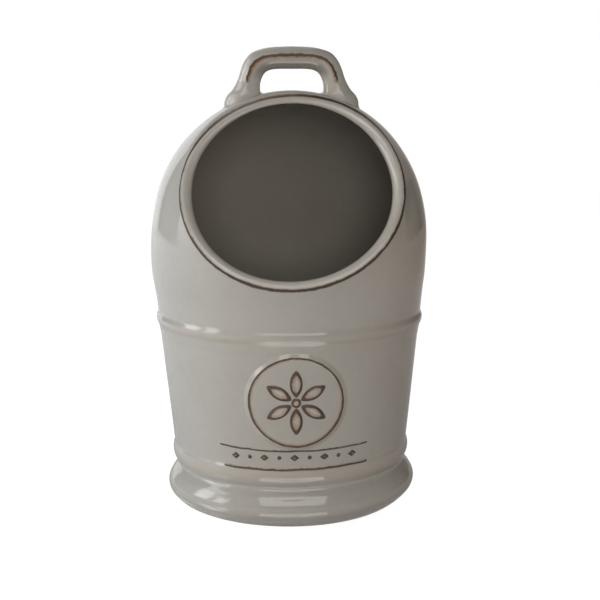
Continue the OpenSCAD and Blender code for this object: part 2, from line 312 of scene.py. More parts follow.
# Meshes out of grids of points. A grid is rows by columns by xyz, in millimetres, and closes on itself
def welded_faces(quads, same):
    """Faces between the welded points, and the corner that each of their normals comes from."""
    faces, corners = [], []
    for quad in quads:
        face, source = [], []
        for corner in quad:
            if same[corner] not in face:
                face.append(int(same[corner]))
                source.append(corner)
        if len(face) > 2:
            faces.append(face)
            corners.extend(source)
    return faces, corners


class Clay:
    """One dressed piece. edge is each point's distance from a worn edge, with a sign for the side."""

    def __init__(self, node, slot_name):
        self.name, self.node, self.slot_name = node + "_dressed", node, slot_name
        self.points, self.normals, self.faces, self.edge = [], [], [], []
        self.count = 0

    def grid(self, points, normals=None, edge=FAR, flip=False):
        rows, cols = points.shape[:2]
        if normals is None:
            normals = grid_normals(points) * (-1 if flip else 1)
        index = np.arange(rows * cols).reshape(rows, cols) + self.count
        index = np.concatenate([index, index[:, :1]], 1)
        quads = np.stack([index[:-1, :-1], index[:-1, 1:], index[1:, 1:], index[1:, :-1]], -1).reshape(-1, 4)
        self.points.append(points.reshape(-1, 3))
        self.normals.append(normals.reshape(-1, 3))
        self.edge.append(np.broadcast_to(edge, (rows, cols)).reshape(-1))
        self.faces.append(quads[:, ::-1] if flip else quads)
        self.count += rows * cols

    def join(self, other, spin):
        """Adds the grids of another piece, turned by a matrix."""
        self.points += [p @ spin for p in other.points]
        self.normals += [n @ spin for n in other.normals]
        self.edge += other.edge
        self.faces += [f + self.count for f in other.faces]
        self.count += other.count

    def build(self, material):
        points = np.concatenate(self.points)
        inside = inside_share(points)
        marks = {
            "edge": np.concatenate(self.edge), "inside": inside,
            "wear": wear_at(points), "crest": crest_share(points, inside),
        }
        points = lean(points)
        keys = np.round(points * WELD).astype(np.int64)
        _, first, same = np.unique(keys, axis=0, return_index=True, return_inverse=True)
        faces, corners = welded_faces(np.concatenate(self.faces), same.reshape(-1))
        mesh = bpy.data.meshes.new(self.name)
        mesh.from_pydata((points[first] * MM).tolist(), [], faces)
        mesh.shade_smooth()
        mesh.normals_split_custom_set(np.concatenate(self.normals)[corners].tolist())
        for name, values in marks.items():
            attribute = mesh.attributes.new(name, "FLOAT", "POINT")
            attribute.data.foreach_set("value", values[first].astype(np.float32))
        mesh.materials.append(material)
        piece = bpy.data.objects.new(self.name, mesh)
        bpy.context.scene.collection.objects.link(piece)
        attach(piece, "root")
        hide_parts(self.node)


# The mouth's edge, its rolled lip and the dome that runs up to it
RADIAL = np.cos(PHI)[:, None] * MOUTH_SIDE + np.sin(PHI)[:, None] * MOUTH_UP
EDGE_R = MOUTH_R + 0.3 * np.cos(PHI - radians(45)) + 0.64 * np.cos(2 * (PHI - radians(42)))
# Distances of the dome's last rows from the edge, and how far from it the dome starts to flare and to round
EDGE_ROWS = [11.4, 10.1, 8.8, 7.6, 6.6, 5.7, 4.9, 4.2, 3.5, 2.9, 2.4, 1.9, 1.5, 1.1, 0.8, 0.5, 0.25, 0.0]
FLARE_FROM, ROUND_FROM = 11.0, 3.6
DOME_ROWS, DOME_MEAN_R = 91, 59.3
# The lip's roll lies this far in from the edge and under it. Its inner half is wider and deeper, by amounts
# that change round the mouth
LIP_IN, LIP_DOWN = 2.0, 2.5
UPPER, LOWER, BESIDE = np.clip(np.sin(PHI), 0, 1), np.clip(-np.sin(PHI), 0, 1), np.cos(PHI)
LIP_WIDER = 1.7 * UPPER ** 2 + 0.4 * LOWER ** 2 + 0.3 * BESIDE ** 2
LIP_DEEPER = 0.8 + 1.6 * UPPER + 1.2 * np.abs(BESIDE)
LIP_START = degrees(asin(LIP_DOWN / LIP_R))
BORE_STEPS = 170
# Where the lip runs into the dome's inner face it is rounded, more the nearer it is to the bend
LIP_SOFT, SOFT_FROM_BEND, SOFT_FROM_EDGE = 0.7, (2.0, 5.0), (0.5, 2.5)


def dome_outside():
    """Rows from the waist to the mouth's edge, and how far each point lies from that edge."""
    edge = MOUTH_CENTRE + EDGE_R[:, None] * RADIAL
    low = unit(ring(at_height(OUTSIDE, DOME_BASE_Z), DOME_BASE_Z) - CENTRE)
    high = unit(edge - CENTRE)
    span = np.arccos(np.clip((low * high).sum(-1), -1, 1)) * DOME_MEAN_R
    proud = np.linalg.norm(edge - CENTRE, axis=-1) - reach(OUTSIDE, high)
    near = np.array(EDGE_ROWS)
    far = np.linspace(1, 0, DOME_ROWS + 1)[:-1]
    distance = np.concatenate([
        near[0] + (span[None, :] - near[0]) * far[:, None],
        np.repeat(near[:, None], SEGMENTS, 1),
    ])
    direction = turn(low[None], high[None], (1 - distance / span)[..., None])
    flare = np.clip(1 - distance / FLARE_FROM, 0, 1) ** 2
    rounded = 1 - np.sqrt(np.clip(1 - np.clip(1 - distance / ROUND_FROM, 0, 1) ** 2, 0, 1))
    rho = reach(OUTSIDE, direction) + np.where(proud > 0, proud * flare, proud * rounded)
    return CENTRE + direction * rho[..., None], -distance


def lip_roll(j):
    """Points over the lip and straight down its bore, at one place round the mouth."""
    a = np.radians(np.arange(LIP_START, 180, 1.8))
    wider = np.where(a > pi / 2, LIP_WIDER[j], 0)
    deeper = np.where(a > pi / 2, LIP_DEEPER[j], 0) * (1 - np.sin(a))
    q = EDGE_R[j] - LIP_IN + (LIP_R + wider) * np.cos(a)
    h = -LIP_DOWN + LIP_R * np.sin(a) - deeper
    q = np.concatenate([q, np.full(BORE_STEPS, EDGE_R[j] - RIM_W - LIP_WIDER[j])])
    h = np.concatenate([h, -LIP_DOWN - LIP_DEEPER[j] - 0.1 * np.arange(BORE_STEPS)])
    return MOUTH_CENTRE + q[:, None] * RADIAL[j] + h[:, None] * MOUTH_OUT


def lip_section(j, low):
    """One line over the lip and down the inside to the waist, and the lengths along it of its bend into the
    dome's inner face and of the joint between rim and dome."""
    p = lip_roll(j)
    room = reach(INSIDE, unit(p - CENTRE)) - np.linalg.norm(p - CENTRE, axis=-1)
    cut = int(np.argmax(room > 0))
    begin = unit(p[cut] - CENTRE)
    angle = acos(float(np.clip(begin @ low[j], -1, 1)))
    share = np.arange(1, int(angle * 540))[:, None] / (angle * 540)
    direction = turn(begin[None], low[j][None], share)
    inner = CENTRE + direction * reach(INSIDE, direction)[:, None]
    path = even(np.concatenate([p[:cut + 1], inner]))
    s = lengths(path)
    bend = lengths(p[:cut + 1])[-1]
    blend = (1 - smoothstep(np.abs(s - bend), *SOFT_FROM_BEND)) * smoothstep(s, *SOFT_FROM_EDGE)
    path = path + (soften(path, LIP_SOFT) - path) * blend[:, None]
    outside_bore = (path - MOUTH_CENTRE) @ RADIAL[j] > EDGE_R[j] - 0.2
    joint = s[np.argmax((s > bend + 2) & outside_bore)]
    return path, s, bend, joint


def lip_and_inside():
    """Rows from the mouth's edge over the lip, down the inside of the dome to the waist."""
    low = unit(ring(at_height(INSIDE, DOME_BASE_Z), DOME_BASE_Z) - CENTRE)
    edge_share = 1 - np.cos(np.linspace(0, 0.5 * pi, 27))
    wall_share = np.linspace(0, 1, 8)[1:]
    down_share = np.linspace(0, 1, 60)[1:]
    rows, marks = [], []
    for j in range(SEGMENTS):
        path, s, bend, joint = lip_section(j, low)
        stop = bend + 3.0
        at = np.concatenate([
            stop * edge_share, stop + (joint - stop) * wall_share, joint + (s[-1] - joint) * down_share,
        ])
        rows.append(resampled(path, s, at))
        marks.append(at)
    return np.stack(rows, 1), np.stack(marks, 1), len(edge_share) + len(wall_share) - 1


def length_at(path, z):
    upper = path[:, 1] > ROLL_TOP
    return np.interp(z, path[upper][:, 1], lengths(path)[upper])


def course_rows(path, low, high, step):
    """Rows of a turned face between two heights, with a row exactly on each."""
    s_low, s_high = length_at(path, low), length_at(path, high)
    at = np.linspace(s_low, s_high, max(3, int((s_high - s_low) / step)))
    return resampled(path, lengths(path), at)


def foot_rows():
    """Rows of the foot, closer together on the ring that it stands on."""
    ring_length = 12
    at = np.concatenate([
        np.linspace(0, ring_length, 46)[:-1], np.linspace(ring_length, length_at(OUTSIDE, FOOT_H), 84),
    ])
    return resampled(OUTSIDE, lengths(OUTSIDE), at)


# One skin for the whole pot, so that the pieces meet with no step and no crease. Its rows run up the
# outside, over the lip and down the inside. row_ends and inner_ends are the rows that lie on the joints
COURSES = [(FOOT_H, BASE_TOP_Z, 0.3), (BASE_TOP_Z, WAIST_Z, 0.8), (WAIST_Z, DOME_BASE_Z, 0.3)]
dome_grid, dome_edge = dome_outside()
lip_grid, lip_mark, joint_row = lip_and_inside()
outer_rows = [turned(foot_rows())]
outer_rows += [turned(course_rows(OUTSIDE, low, high, step)[1:]) for low, high, step in COURSES]
outer_rows.append(dome_grid[1:])
row_ends = np.cumsum([len(b) for b in outer_rows]) - 1
inner_rows = [turned(course_rows(INSIDE, low, high, 2.0)[::-1][1:]) for low, high, _ in reversed(COURSES)]
inner_rows.append(turned(course_rows(INSIDE, SLAB_TOP_Z, FOOT_H, 1.0)[::-1][1:]))
lip_first = row_ends[4]
joint_at = lip_first + joint_row
inner_waist = lip_first + len(lip_grid) - 1
inner_ends = np.cumsum([len(b) for b in inner_rows]) + inner_waist
skin = np.concatenate(outer_rows + [lip_grid[1:]] + inner_rows)
edge_marks = np.concatenate([
    np.full((row_ends[3] + 1, SEGMENTS), -FAR), dome_edge[1:], lip_mark[1:],
    np.full((len(skin) - inner_waist - 1, SEGMENTS), FAR),
])
# The clay's uneven face evens out towards the ring that the pot stands on
settle = smoothstep(skin[..., 2], 1.0, 8.0)
skin = skin - grid_normals(skin) * (handmade(skin) * settle)[..., None]
row_normals = grid_normals(skin)


def take(clay, first, last):
    rows = slice(first, last + 1)
    clay.grid(skin[rows], row_normals[rows], edge_marks[rows])


def joint_face(clay, row_a, row_b):
    """Flat face between an outer and an inner row, where two courses meet."""
    share = np.linspace(0, 1, 4)[:, None, None]
    clay.grid(skin[row_a][None] * (1 - share) + skin[row_b][None] * share)


def make_course(node, outer, inner):
    """A course of the wall: its outer rows from bottom to top, and its inner rows from top to bottom."""
    clay = Clay(node, "glaze")
    take(clay, *outer)
    joint_face(clay, outer[1], inner[0])
    take(clay, *inner)
    joint_face(clay, inner[1], outer[0])
    return clay


def make_foot():
    clay = Clay("foot_ring", "glaze")
    take(clay, 0, row_ends[0])
    joint_face(clay, row_ends[0], inner_ends[2])
    take(clay, inner_ends[2], inner_ends[3])
    seat = turned([(SLAB_R, SLAB_TOP_Z), (SLAB_R, RECESS_H), (CONTACT_INNER_R, RECESS_H)])
    seat[0] = skin[inner_ends[3]]
    seat[-1] = skin[0]
    clay.grid(seat)
    return clay


def make_rim():
    clay = Clay("mouth_rim", "rim_glaze")
    take(clay, lip_first, joint_at)
    joint_face(clay, joint_at, lip_first)
    return clay


# Handle: a crowned bar and two legs that spread onto the crown. A section's points are how far forward and
# how far out each lies, as shares
BAR_SECTION = [
    (0, 1), (0.3, 0.98), (0.5, 0.93), (0.68, 0.85), (0.84, 0.755), (0.96, 0.66), (1.0, 0.58), (0.965, 0.47),
    (0.88, 0.34), (0.75, 0.2), (0.55, 0.08), (0.3, 0.01), (0, 0),
]
FOOT_SECTION = [
    (0, 1), (0.3, 0.975), (0.52, 0.91), (0.70, 0.82), (0.86, 0.72), (0.96, 0.63), (0.99, 0.55), (0.975, 0.45),
    (0.93, 0.35), (0.83, 0.22), (0.68, 0.1), (0.48, 0.02), (0.25, 0), (0, 0),
]
HANDLE_STATIONS = [
    # outer x, z, inner x, z, half depth, how far the section is a foot's
    (0.0, 200.1, 0.0, 190.4, 4.95, 0.0), (8.0, 199.75, 5.2, 190.4, 4.95, 0.0),
    (12.8, 198.95, 8.5, 190.1, 4.95, 0.0), (17.0, 197.35, 10.8, 189.2, 5.0, 0.0),
    (19.6, 194.7, 12.2, 187.6, 5.0, 0.0), (21.1, 191.9, 13.0, 185.8, 5.0, 0.05),
    (22.05, 189.3, 13.45, 184.0, 5.0, 0.15), (22.85, 186.8, 13.55, 182.6, 5.1, 0.3),
    (23.95, 184.3, 13.5, 181.5, 5.4, 0.5), (25.5, 181.8, 13.45, 180.6, 5.8, 0.75),
    (27.7, 179.3, 13.3, 179.9, 6.2, 1.0), (28.8, 176.9, 13.2, 179.3, 6.4, 1.0),
    (28.95, 174.9, 13.2, 178.8, 6.5, 1.0), (28.5, 172.4, 13.2, 177.8, 6.5, 1.0),
]
# Fillet under the legs, which fades out towards the mouth
HANDLE_FILLET, CLEAR_OF_MOUTH, LEGS_BEYOND_X = 1.5, (-5.5, -3.0), 9
# The worn line runs along the bar at this share of the way out, and fades down the legs
WORN_SHARE, FADE, FADE_TOP, FADE_END = 0.62, 6.4, 189.0, 183.0
HANDLE_ROWS, HANDLE_COLS = 132, 49
HANDLE_SEED = 8


def nearest_front(section, share):
    """Index of the section's point on its front face that lies nearest to a share of the way out."""
    return np.argmin(np.abs(section[:, 1] - share) + (section[:, 0] < 0.5) * 9)


def handle_grid():
    """Rows of the handle from foot to foot, and each point's distance from the worn line along it."""
    half = spline(HANDLE_STATIONS, HANDLE_ROWS)
    left = half[::-1].copy()
    left[:, [0, 2]] *= -1
    bar, foot = spline(BAR_SECTION, HANDLE_COLS), spline(FOOT_SECTION, HANDLE_COLS)
    worn = bar[nearest_front(bar, WORN_SHARE), 1]
    points, marks = [], []
    for ox, oz, ix, iz, depth, footness in np.concatenate([left, half[1:]]):
        uv = bar * (1 - footness) + foot * footness
        uv = np.concatenate([uv, (uv[-2:0:-1] * [-1, 1])])
        inner, outer = np.array([ix, 0, iz]), np.array([ox, 0, oz])
        points.append(inner + uv[:, 1:2] * (outer - inner) - uv[:, 0:1] * np.array([0, depth, 0]))
        lap = lengths(np.concatenate([uv, uv[:1]]) * [depth, np.linalg.norm(outer - inner)])
        centre = lap[nearest_front(uv[:HANDLE_COLS], worn)]
        front, back = lap[:-1] - centre, (lap[-1] - lap[:-1]) - centre
        mark = np.where(np.abs(front) < np.abs(back), front, back)
        fade = FADE * smoothstep(-oz, -FADE_TOP, -FADE_END) ** 2
        marks.append(np.sign(mark + 1e-9) * (np.abs(mark) + fade))
    return np.stack(points), np.stack(marks)


def with_fillet(grid):
    """Spreads the legs where they run into the dome, but not at the mouth."""
    normals = grid_normals(grid)
    up = unit(grid - CENTRE)
    level = normals - (normals * up).sum(-1, keepdims=True) * up
    near = np.clip(np.linalg.norm(grid - CENTRE, axis=-1) - DOME_R, 0, HANDLE_FILLET)
    spread = HANDLE_FILLET - np.sqrt(HANDLE_FILLET ** 2 - (HANDLE_FILLET - near) ** 2)
    clear = 1 - smoothstep((grid - MOUTH_CENTRE) @ MOUTH_OUT, *CLEAR_OF_MOUTH)
    return grid + level * (spread * clear * (np.abs(grid[..., 0]) > LEGS_BEYOND_X))[..., None]


def make_handle():
    grid, marks = handle_grid()
    grid = with_fillet(grid)
    grid = grid - grid_normals(grid) * handmade(grid, HANDLE_SEED)[..., None]
    clay = Clay("handle", "glaze")
    clay.grid(grid, grid_normals(grid), marks)
    for end in (0, -1):
        middle = grid[end].mean(0)
        share = np.linspace(0, 1, 3)[:, None, None]
        cap = grid[end][None] * (1 - share) + middle * share
        clay.grid(cap, np.broadcast_to(unit(middle - CENTRE) * -1, cap.shape), flip=end == 0)
    return clay


# Raised decoration, laid on the wall: x and z are as seen from the front, rise is off the wall
MEDALLION_X = 0.75
PETALS, PETAL_LONG, PETAL_WIDE, PETAL_ROOT = 6, 6.0, 2.75, 2.0
ROSETTE_GROUND = MEDALLION_T - 0.1
BOSS_R = 2.26
LINE_STEPS, LINE_COLS, LINE_HALF, LINE_H, LINE_ROOT = 260, 17, 0.72, 0.66, 0.2
STUDS, STUD_POINTS, ROSETTE_POINTS, BOSS_POINTS, MEDALLION_POINTS = 9, 56, 84, 48, 224
# Half width, half height and rise of the studs. Petals, boss and studs start ROOT under the face they lie on
LOZENGE, DOT, LOZENGE_POWER, ROOT = (2.2, 1.65, 0.7), (1.05, 1.05, 0.6), 1.15, 0.15


def on_wall(x, z, rise, base=wall_r):
    r = base(z) + rise
    return np.stack([x, -np.sqrt(np.maximum(r * r - x * x, 1.0)), z], -1)


def sunk(p):
    """Follows the clay's uneven face."""
    return p - unit(p * [1, 1, 0]) * handmade(p)[..., None]


def skin_r(z):
    """Outer radius of the pot's turned face, beads included."""
    return at_height(OUTSIDE, z)


def polar(radii, count):
    a = angles(count)
    return np.outer(radii, np.cos(a)), np.outer(radii, np.sin(a))


def lens(clay, x, z, rise, mark, base=wall_r, back=-0.8):
    """Closed form from a polar grid: its front rises off the wall, its back is inside the clay."""
    front = sunk(on_wall(x, z, rise, base))
    clay.grid(front, edge=mark)
    deep = np.minimum(rise[-1:], 0) + back
    share = np.linspace(0, 1, 3)[:, None]
    back_x = x[-1][None] * (1 - share) + x[0].mean() * share
    back_z = z[-1][None] * (1 - share) + z[0].mean() * share
    skirt = sunk(on_wall(back_x, back_z, np.broadcast_to(deep, back_x.shape), base))
    clay.grid(np.concatenate([front[-1:], skirt]))


def make_medallion():
    """A thin disc with a raised ring, squashed a little as it was pressed on."""
    radii = np.concatenate([[0.02], np.linspace(1, 17, 17), np.linspace(17.4, 22.2, 34)])
    x, z = polar(radii, MEDALLION_POINTS)
    edge = smoothstep(-radii, -MEDALLION_R - 2.5, -MEDALLION_R + 0.1)
    ridge = np.exp(-((radii - MEDALLION_R + 0.25) / 0.55) ** 2) * 0.22
    rise = (-0.12 + (MEDALLION_T + 0.02) * edge + ridge)[:, None]
    mark = (radii - MEDALLION_R + 0.2)[:, None]
    clay = Clay("medallion", "medallion_glaze")
    lens(clay, MEDALLION_X + x * 0.995, MEDALLION_Z + z * 0.974, rise, mark)
    return clay


def make_rosette():
    """Six veined petals round a boss."""
    clay = Clay("rosette", "worn_relief")
    levels = np.concatenate([[0.01], np.linspace(0.08, 0.8, 10), np.linspace(0.84, 1.08, 8)])
    a = angles(ROSETTE_POINTS)
    along = np.sign(np.sin(a)) * np.abs(np.sin(a)) ** 0.92
    across = np.cos(a) * (1 - 0.42 * np.abs(along) ** 2.2)
    u = np.outer(levels, across) * PETAL_WIDE
    v = np.outer(levels, along) * PETAL_LONG + PETAL_ROOT + PETAL_LONG
    height = 0.78 * (1 - smoothstep(levels, 0.62, 1.08))[:, None]
    vein = 0.16 * np.exp(-(u / 0.38) ** 2) * (levels < 0.9)[:, None]
    rise = ROSETTE_GROUND - ROOT + height - vein
    mark = ((levels - 0.78) * PETAL_WIDE)[:, None]
    for i in range(PETALS):
        c, s = cos(pi / 3 * i), sin(pi / 3 * i)
        lens(clay, MEDALLION_X + u * c - v * s, MEDALLION_Z + u * s + v * c, rise, mark, back=-0.3)
    radii = np.array([0.01, 0.4, 0.8, 1.15, 1.45, 1.7, 1.9, 2.1, 2.25])
    x, z = polar(radii, BOSS_POINTS)
    dome_rise = ROSETTE_GROUND - ROOT + 0.95 * np.sqrt(np.clip(1 - (radii / BOSS_R) ** 2, 0, 1))
    lens(clay, MEDALLION_X + x, MEDALLION_Z + z, dome_rise[:, None], (radii - 1.5)[:, None], back=-0.3)
    return clay


def make_line(node, z, left, right, rise_of_ends):
    """A raised line across the front, from left to right in degrees. Its ends curve up."""
    a = np.radians(np.linspace(-left, right, LINE_STEPS))
    across = np.linspace(-1, 1, LINE_COLS)
    taper = np.sqrt(np.clip(1 - (np.abs(np.linspace(-1, 1, LINE_STEPS)) ** 60), 0.02, 1))
    level = z + np.outer(np.ones(LINE_STEPS), across * LINE_HALF)
    front_r = skin_r(level) + (np.outer(taper, LINE_H * np.cos(across * pi / 2) ** 1.3) - LINE_ROOT)
    back_r = skin_r(level) - 0.5
    drawn = 0.05 * np.sin(a * 31) + 0.05 * np.sin(a * 17 + 1)
    level = level + (drawn + rise_of_ends * (a / radians(LABEL_SWEEP / 2)) ** 2)[:, None]
    sine, cosine = np.sin(a)[:, None], np.cos(a)[:, None]
    front = np.stack([front_r * sine, -front_r * cosine, level], -1)
    back = np.stack([back_r * sine, -back_r * cosine, level], -1)
    loop = sunk(np.concatenate([front, back[:, ::-1]], 1))
    clay = Clay(node, "worn_relief")
    clay.grid(loop[::-1], edge=np.concatenate([across * LINE_HALF, np.full(LINE_COLS, FAR)])[None])
    for end in (0, -1):
        middle = loop[end].mean(0)
        clay.grid(np.stack([loop[end], np.broadcast_to(middle, loop[end].shape)]), flip=end == 0)
    return clay


def make_studs():
    """Lozenges and dots in turn. Each is shaped at the middle of the front and turned to its place."""
    clay = Clay("label_studs", "worn_relief")
    step = LABEL_SWEEP * 0.86 / STUDS
    levels = np.concatenate([[0.01], np.linspace(0.1, 1.12, 16)])
    a = angles(STUD_POINTS)
    powers = np.abs(np.cos(a)) ** LOZENGE_POWER + np.abs(np.sin(a)) ** LOZENGE_POWER
    lozenge, dot = 1 / powers ** (1 / LOZENGE_POWER), np.ones(STUD_POINTS)
    for i in range(STUDS):
        shape, (half_w, half_h, height) = (lozenge, LOZENGE) if i % 2 == 0 else (dot, DOT)
        x = np.outer(levels, np.cos(a) * shape) * half_w
        z = np.outer(levels, np.sin(a) * shape) * half_h
        rise = (-ROOT + height * (1 - smoothstep(levels, 0.25, 1.1)))[:, None]
        stud = Clay(clay.node, clay.slot_name)
        lens(stud, x, STUD_Z - 0.5 + z, rise, ((levels - 0.55) * half_h)[:, None], base=skin_r)
        turn_by = radians((i - STUDS // 2) * step)
        c, s = cos(turn_by), sin(turn_by)
        clay.join(stud, np.array([[c, s, 0], [-s, c, 0], [0, 0, 1]]))
    return clay


def make_floor_slab():
    """Floor inside the foot, with the rings that the fingers leave."""
    r = np.concatenate([[0.02], np.linspace(1.0, 40, 70)])
    rings = 0.22 * np.cos(r * 2 * pi / 5.2) * smoothstep(r, 1, 6) + 0.5 * np.exp(-(r / 4) ** 2)
    top = np.stack([r, FLOOR_Z + 0.25 + rings - 0.25 * smoothstep(r, 30, 40)], 1)
    fillet = arc(SLAB_R - 4.2, FLOOR_Z + 4.1, 4.2, -90, -2, rz=4.1, step=0.4)
    side_r = SLAB_R - 0.01
    side = [(side_r, FLOOR_Z + 3.9), (side_r, FLOOR_Z), (side_r, RECESS_H), (CONTACT_INNER_R, RECESS_H)]
    under_r = np.linspace(37.6, 0.02, 60)
    under = np.stack([under_r, RECESS_H + 0.08 * np.sin(under_r * 2 * pi / 2.6)], 1)
    clay = Clay("floor_slab", "glaze")
    for rows in (np.concatenate([top, fillet]), side, under):
        clay.grid(turned(rows)[::-1])
    return clay


# Small helpers for node trees
def link(tree, a, b):
    tree.links.new(a, b)


def add(tree, kind, **values):
    node = tree.nodes.new(kind)
    for key, value in values.items():
        setattr(node, key, value)
    return node


def fill(tree, socket, value):
    """Sets a socket to a number or a colour, or links it."""
    if isinstance(value, (int, float)):
        socket.default_value = value
    elif isinstance(value, tuple):
        socket.default_value = (*value, 1)
    else:
        link(tree, value, socket)


def new_tree(owner, output):
    """Empty node tree, and the surface socket of its output."""
    owner.use_nodes = True
    tree = owner.node_tree
    tree.nodes.clear()
    return tree, add(tree, output).inputs["Surface"]


def noise(tree, coords, scale, detail, rough):
    node = add(tree, "ShaderNodeTexNoise")
    for key, value in (("Scale", scale), ("Detail", detail), ("Roughness", rough)):
        node.inputs[key].default_value = value
    link(tree, coords, node.inputs["Vector"])
    return node.outputs["Fac"]


def math_node(tree, operation, a, b=0.0, clamp=False):
    node = add(tree, "ShaderNodeMath", operation=operation, use_clamp=clamp)
    fill(tree, node.inputs[0], a)
    fill(tree, node.inputs[1], b)
    return node.outputs[0]


def plus(tree, a, b, clamp=False):
    return math_node(tree, "ADD", a, b, clamp)


def minus(tree, a, b):
    return math_node(tree, "SUBTRACT", a, b)


def times(tree, a, b, clamp=False):
    return math_node(tree, "MULTIPLY", a, b, clamp)


def ramp(tree, value, stops):
    node = add(tree, "ShaderNodeValToRGB")
    while len(node.color_ramp.elements) < len(stops):
        node.color_ramp.elements.new(0.5)
    for element, (position, colour) in zip(node.color_ramp.elements, stops):
        element.position = position
        element.color = (*colour, 1)
    link(tree, value, node.inputs["Fac"])
    return node.outputs["Color"]


def mix(tree, factor, a, b, blend="MIX"):
    node = add(tree, "ShaderNodeMix", data_type="RGBA", blend_type=blend)
    for index, value in ((0, factor), (6, a), (7, b)):
        fill(tree, node.inputs[index], value)
    return node.outputs[2]


def attribute(tree, name):
    return add(tree, "ShaderNodeAttribute", attribute_name=name).outputs["Fac"]


def axes_of(tree, coords):
    node = add(tree, "ShaderNodeSeparateXYZ")
    link(tree, coords, node.inputs[0])
    return node.outputs


def simple_shader(tree, kind, colour, **settings):
    """A shader that has a colour socket, with its other sockets set by name."""
    node = add(tree, kind)
    fill(tree, node.inputs["Color"], colour)
    for key, value in settings.items():
        node.inputs[key].default_value = value
    return node.outputs[0]


def combined(tree, kind, *inputs):
    """A shader that adds or mixes others, with its inputs linked in order."""
    node = add(tree, kind)
    for socket, value in zip(node.inputs, inputs):
        link(tree, value, socket)
    return node.outputs[0]


def grey(level):
    return (level, level, level)


BLACK, WHITE = (0, 0, 0), (1, 1, 1)

# Glaze over clay, worn through along the edges that the meshes mark
GLAZE = (0.345, 0.326, 0.292)
GLAZE_PALE = (0.357, 0.339, 0.306)
GLAZE_DEEP = (0.331, 0.311, 0.276)
# Painted shade: the glaze inside the pot is multiplied by this, so it is darker and a little warmer than
# outside
INSIDE_PAINTED_SHADE = (0.585, 0.56, 0.525)
IRON = (0.030, 0.019, 0.014)
COPPER = (0.052, 0.030, 0.020)
TAN = (0.270, 0.165, 0.085)
# Bare buff clay where the pot stands, raised in brightness as painted light from the table below
BUFF = (0.480, 0.380, 0.270)
THIN = (0.400, 0.315, 0.235)
SPECK = (0.55, 0.48, 0.40)
GLAZE_SMOOTH, GLAZE_DULL, WORN_ROUGH, BARE_ROUGH = 0.05, 0.08, 0.55, 0.8
# Scale, detail and roughness of each noise
CLOUD, PATCHY, PEEL = (22.0, 4, 0.6), (60.0, 3, 0.6), (140.0, 3, 0.5)
FINE, RAGGED, SPECKS = (260.0, 3, 0.6), (420.0, 4, 0.7), (900.0, 2, 0.5)
# Heights in metres: the lowest part of the handle that painted shade darkens, and how uneven the bare ring's
# edge is
BAR_FROM, BARE_UNEVEN = 0.183, 0.0012
BUMP_STRENGTH, BUMP_DISTANCE = 0.12, 0.00012


def glaze_colour(tree, cloud, fine, speck, painted_light):
    """Clouded and specked grey, thin and warm on the crests, with painted shade darkening it inside the pot.
    """
    # Painted light: the three greys are raised by tone where it is over 1
    shades = [tuple(painted_light * share for share in colour) for colour in (GLAZE_DEEP, GLAZE, GLAZE_PALE)]
    base = ramp(tree, cloud, list(zip((0.30, 0.52, 0.74), shades)))
    grain = ramp(tree, fine, [(0.35, (0.98, 0.98, 0.975)), (0.65, grey(1.01))])
    base = mix(tree, 1.0, base, grain, "MULTIPLY")
    base = mix(tree, 0.6, base, ramp(tree, speck, [(0.14, SPECK), (0.22, WHITE)]), "MULTIPLY")
    base = mix(tree, times(tree, attribute(tree, "crest"), times(tree, cloud, 0.55)), base, THIN)
    return mix(tree, attribute(tree, "inside"), base, mix(tree, 1.0, base, INSIDE_PAINTED_SHADE, "MULTIPLY"))


def band(tree, distance, half, full, gone):
    """1 on a line and 0 beside it. full and gone are shares of its whole width."""
    ratio = math_node(tree, "DIVIDE", math_node(tree, "ABSOLUTE", distance), half)
    return ramp(tree, times(tree, ratio, 0.5, True), [(full, WHITE), (gone, BLACK)])


def worn_bands(tree, coords, mark, patchy, worn_half, tan_side, tan_amount, jagged):
    """How tan and how dark the glaze is along a worn edge, with ragged sides and uneven widths."""
    ragged = noise(tree, coords, *RAGGED)
    worn = attribute(tree, "wear")
    distance = plus(tree, mark, times(tree, minus(tree, ragged, 0.5), jagged))
    width = plus(tree, 0.45, times(tree, patchy, 1.1))
    width = times(tree, width, plus(tree, 0.4, times(tree, worn, 0.6)))
    half = times(tree, width, worn_half)
    dark = band(tree, distance, half, 0.40, 0.62)
    tan = band(tree, minus(tree, distance, tan_side), times(tree, half, 1.35), 0.25, 0.75)
    strength = ramp(tree, patchy, [(0.25, grey(0.45)), (0.5, WHITE)])
    bared = ramp(tree, worn, [(0.30, grey(0.25)), (0.62, WHITE)])
    return times(tree, times(tree, tan, strength), tan_amount), times(tree, times(tree, dark, bared), 0.96)


def bar_painted_shade(tree, base, mark, height, shade):
    """Painted shade: darkens the face of the handle's bar under its worn line, where the marks are positive.
    """
    deep = 1.0 - shade
    on_bar = times(tree, minus(tree, height, BAR_FROM), 150.0, True)
    under = times(tree, times(tree, mark, 0.25, True), on_bar)
    bar_shade_colour = ramp(tree, under, [(0.3, WHITE), (1.0, (deep, deep * 0.97, deep * 0.93))])
    return mix(tree, 1.0, base, bar_shade_colour, "MULTIPLY")


